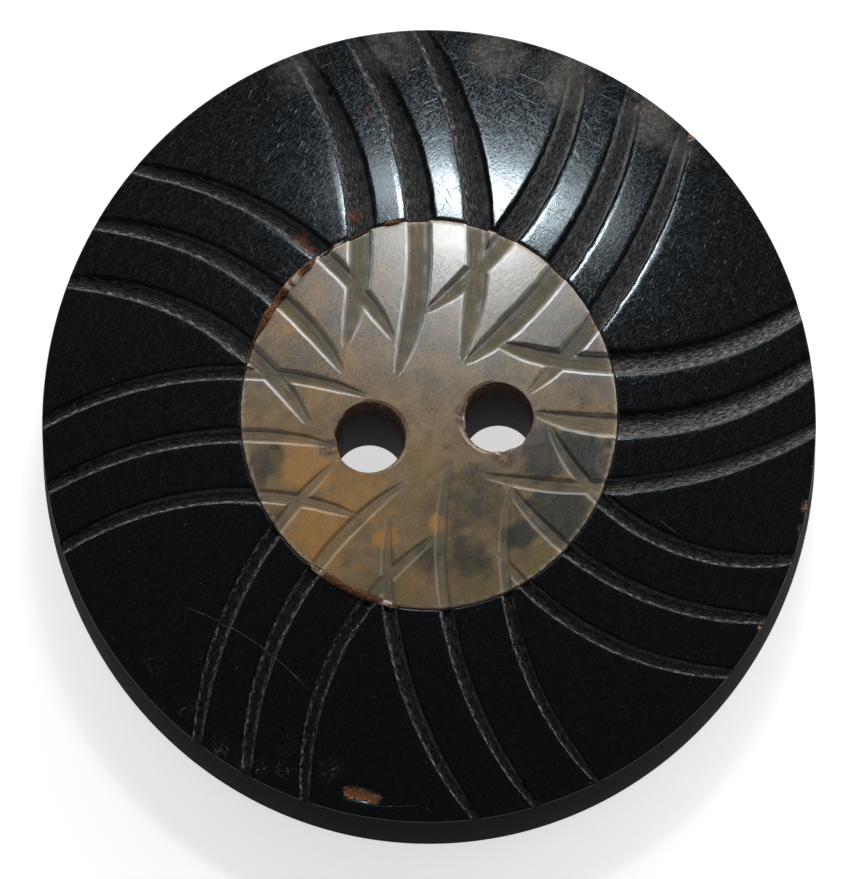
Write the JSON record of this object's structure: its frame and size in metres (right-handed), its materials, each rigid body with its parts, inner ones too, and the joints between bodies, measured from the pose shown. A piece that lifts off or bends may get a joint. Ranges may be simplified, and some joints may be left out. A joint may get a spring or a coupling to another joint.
{
  "type": "two-hole button",
  "caption": "Large domed sewing button of black horn with a pale horn disc let into its face, carved with curved grooves that sweep outward like a pinwheel.",
  "frame": {"origin": "centre of the flat back", "axes": "+Z out of the carved face, +Y along the longer way across the slightly oval outline, +X across it"},
  "size_m": [0.0296, 0.0314, 0.0064],
  "materials": {
    "black_horn": "polished black horn, finely scratched, with dull grey grooves",
    "pale_horn": "polished, slightly see-through amber and grey horn"
  },
  "bodies": {
    "root": {"horn_body": "black_horn", "pale_disc": "pale_horn"}
  },
  "joints": []
}
